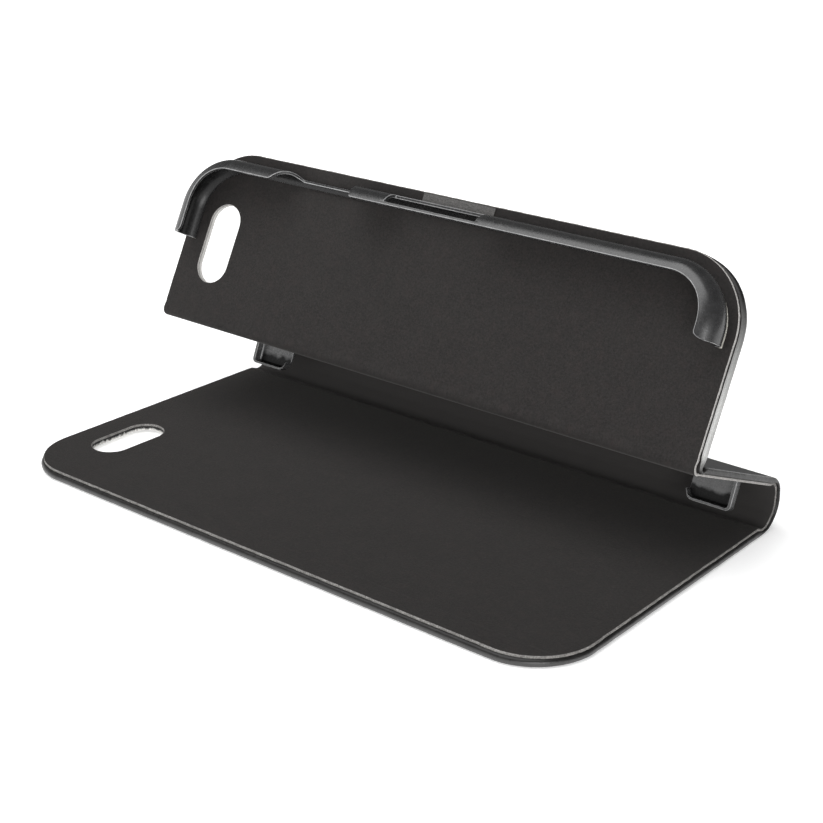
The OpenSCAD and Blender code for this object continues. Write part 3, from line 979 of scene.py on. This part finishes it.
def build_clip(side):
    """Back wall, end wall and lip in one moulding: a closed shell between an outer and an inner surface."""
    r_plan, r_top, r_end = 1.2, 1.1, 2.0
    round_from = 3.0
    plan = [(t, 0.0) for t in np.linspace(0.0, CLIP_L - r_plan, 15)]
    for a in np.linspace(0, math.pi / 2, 9)[1:]:
        plan.append((CLIP_L - r_plan + r_plan * math.sin(a), r_plan - r_plan * math.cos(a)))
    plan += [(CLIP_L, t) for t in np.linspace(r_plan, CLIP_D, 4)[1:]]
    plan = np.array(plan)
    tangent = np.gradient(plan, axis=0)
    tangent /= np.linalg.norm(tangent, axis=1)[:, None]
    inward = np.stack([-tangent[:, 1], tangent[:, 0]], -1)
    along_back = inward[:, 1] > 0.999
    x_off = HALF - CLIP_INSET - CLIP_L
    verts, faces = [], []

    def put(px, py, pz):
        drop = max(0.0, min(1.0, (r_end - px) / r_end))
        pz -= r_end * (1 - math.sqrt(1 - drop ** 2)) * max(0.0, pz - round_from) / (CLIP_H - round_from)
        verts.append(on_flap(side * (x_off + px), CLIP_BACK + py, RAIL_BASE + pz))
        return len(verts) - 1

    def surface(offset, height, radius):
        """Rows up the walls and over the lip to its free edge."""
        grid = []
        for z in np.linspace(0.0, height - radius, 7):
            grid.append([put(*(p + q * offset), z) for p, q in zip(plan, inward)])
        for a in np.linspace(0, math.pi / 2, 6)[1:]:
            d = offset + radius - radius * math.cos(a)
            z = height - radius + radius * math.sin(a)
            grid.append([put(*(p + q * d), z) for p, q in zip(plan, inward)])
        start = [p + q * (offset + radius) for p, q in zip(plan, inward)]
        for t in (0.34, 0.67, 1.0):
            grid.append([put(min(x, CLIP_L - offset - radius), y + (CLIP_D - y) * t, height) for x, y in start])
        return grid

    outside = surface(0.0, CLIP_H, r_top)
    inside = surface(WALL, CLIP_H - CLIP_LIP, r_top - CLIP_LIP)
    wall = CLIP_H - r_top
    heights = [*np.linspace(0.0, wall, 7), *np.linspace(wall + 0.1, CLIP_H - CLIP_LIP, 5)]
    depth = [0.0] * len(verts)
    for row, z in zip(inside, heights):
        for v, back in zip(row, along_back):
            depth[v] = float(z) if back else 0.0
    for grid, turn in ((outside, False), (inside, True)):
        for lower, upper in zip(grid[:-1], grid[1:]):
            for k in range(len(lower) - 1):
                quad = (lower[k], lower[k + 1], upper[k + 1], upper[k])
                faces.append(quad[::-1] if turn else quad)
    for lower, upper, low_in, up_in in zip(outside[:-1], outside[1:], inside[:-1], inside[1:]):
        faces.append((lower[0], upper[0], up_in[0], low_in[0]))
        faces.append((lower[-1], upper[-1], up_in[-1], low_in[-1]))
    for k in range(len(plan) - 1):
        faces.append((outside[0][k], outside[0][k + 1], inside[0][k + 1], inside[0][k]))
        faces.append((outside[-1][k], outside[-1][k + 1], inside[-1][k + 1], inside[-1][k]))
    name = "lower_clip_" + ("left" if side < 0 else "right")
    obj = mesh_object(name + "_moulding", verts, faces, M_CLIP, extra=[M_EDGE_HIGHLIGHT])
    obj.data.attributes.new("inside_mm", "FLOAT", "POINT").data.foreach_set("value", depth)
    bm = cleaned(obj, 1e-6)
    bm.to_mesh(obj.data)
    bm.free()
    round_edges(obj, 0.1, 45)
    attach(obj, "flap")
    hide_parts(name)


for side in (-1, 1):
    build_clip(side)

# ---------------------------------------------------------------- carried-over nodes
LOOKS = {"front_cover_board": board_material("cover_board", True), "board": M_BOARD, "stay": M_BOARD,
         "tape": M_TAPE, "plate": M_PLATE}
for name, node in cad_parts.items():
    if node.hide_render:
        continue
    look = next(m for key, m in LOOKS.items() if key in name)
    node.data.materials.clear()
    node.data.materials.append(look)
    # The plate's bevelled edges get the painted highlight too.
    if "plate" in name:
        node.data.materials.append(M_EDGE_HIGHLIGHT)
        round_edges(node, 0.08)

# ---------------------------------------------------------------- floor, light and camera
FLOOR_HALF = 6.0


def floor_material():
    """White paper that glows more with the distance from the case, so that it runs into a white background."""
    m = material("floor_paper")
    n = Nodes(m)
    mottled = n.ramp(n.noise(n.object_place(0.05), 3.0, 3.0, 0.5), 0.3, 0.7, 0.0, 1.0)
    away = m.node_tree.nodes.new("ShaderNodeVectorMath")
    away.operation = "LENGTH"
    m.node_tree.links.new(n.object_place(), away.inputs[0])
    n.set(Base_Color=n.mix(mottled, (0.90, 0.90, 0.90), (0.92, 0.92, 0.92)), Roughness=0.9,
          Specular_IOR_Level=0.1, Emission_Strength=n.ramp(away.outputs["Value"], 110.0, 330.0, 0.44, 1.0))
    n.bsdf.inputs["Emission Color"].default_value = (1, 1, 1, 1)
    return m


floor_mesh = bpy.data.meshes.new("floor")
corners = [(x * FLOOR_HALF, y * FLOOR_HALF, 0) for x, y in ((-1, -1), (1, -1), (1, 1), (-1, 1))]
floor_mesh.from_pydata(corners, [], [(0, 1, 2, 3)])
floor = bpy.data.objects.new("floor", floor_mesh)
bpy.context.scene.collection.objects.link(floor)
floor.location.z = -0.05 * MM
floor_mesh.materials.append(floor_material())


def studio_world():
    """Soft light from low down on the photographer's side, fading upwards and towards the back of the case."""
    world = bpy.data.worlds.new("studio")
    world.use_nodes = True
    tree = world.node_tree
    sky = tree.nodes.new("ShaderNodeTexCoord").outputs["Generated"]

    def fade(value, start, end, first, last):
        node = tree.nodes.new("ShaderNodeMapRange")
        node.interpolation_type = "SMOOTHSTEP"
        for key, v in (("From Min", start), ("From Max", end), ("To Min", first), ("To Max", last)):
            node.inputs[key].default_value = v
        tree.links.new(value, node.inputs["Value"])
        return node.outputs[0]

    axes = tree.nodes.new("ShaderNodeSeparateXYZ")
    tree.links.new(sky, axes.inputs[0])
    aside = tree.nodes.new("ShaderNodeVectorMath")
    aside.operation = "DOT_PRODUCT"
    aside.inputs[1].default_value = (0.20, 0.97, 0.0)
    tree.links.new(sky, aside.inputs[0])
    strength = tree.nodes.new("ShaderNodeMath")
    strength.operation = "MULTIPLY_ADD"
    strength.inputs[2].default_value = 0.07
    tree.links.new(fade(axes.outputs[2], 0.15, 0.60, 1.0, 0.0), strength.inputs[0])
    tree.links.new(fade(aside.outputs["Value"], -0.35, 0.25, 1.45, 0.10), strength.inputs[1])
    background = tree.nodes["Background"]
    background.inputs[0].default_value = (1, 1, 1, 1)
    tree.links.new(strength.outputs[0], background.inputs[1])
    return world


bpy.context.scene.world = studio_world()


def area_light(name, location, target, size, power):
    """A rectangular soft box at a place, turned towards a target."""
    data = bpy.data.lights.new(name, "AREA")
    data.shape = "RECTANGLE"
    data.size, data.size_y = size
    data.energy = power
    obj = bpy.data.objects.new(name, data)
    obj.location = location
    towards = Vector(target) - Vector(location)
    obj.rotation_mode = "QUATERNION"
    obj.rotation_quaternion = towards.to_track_quat("-Z", "Y")
    bpy.context.scene.collection.objects.link(obj)


area_light("key", (-0.12, -0.18, 0.80), (0, 0, 0.03), (0.95, 0.80), 7.2)
area_light("right", (0.60, -0.58, 0.22), (0.05, 0, 0.02), (0.4, 0.25), 2.6)

# The view was solved from the case's straight edges. The focal length is in widths of the picture.
SENSOR, FOCAL = 36.0, 1659.63 / 823.0
cam_data = bpy.data.cameras.new("camera")
cam_data.sensor_width = SENSOR
cam_data.lens = FOCAL * SENSOR
cam_data.clip_start, cam_data.clip_end = 0.01, 50
cam = bpy.data.objects.new("camera", cam_data)
cam.location = (0.2054, -0.2438, 0.1486)
look = Vector((-0.5812, 0.7225, -0.3745)).normalized()
right = Vector((0.7759, 0.6307, 0.0125))
right = (right - look * right.dot(look)).normalized()
up = right.cross(look)
cam.rotation_mode = "QUATERNION"
cam.rotation_quaternion = Matrix((right, up, -look)).transposed().to_quaternion()
bpy.context.scene.collection.objects.link(cam)
bpy.context.scene.camera = cam

scene = bpy.context.scene
scene.view_settings.view_transform = "Standard"
scene.view_settings.look = "None"
scene.view_settings.exposure = 0.0
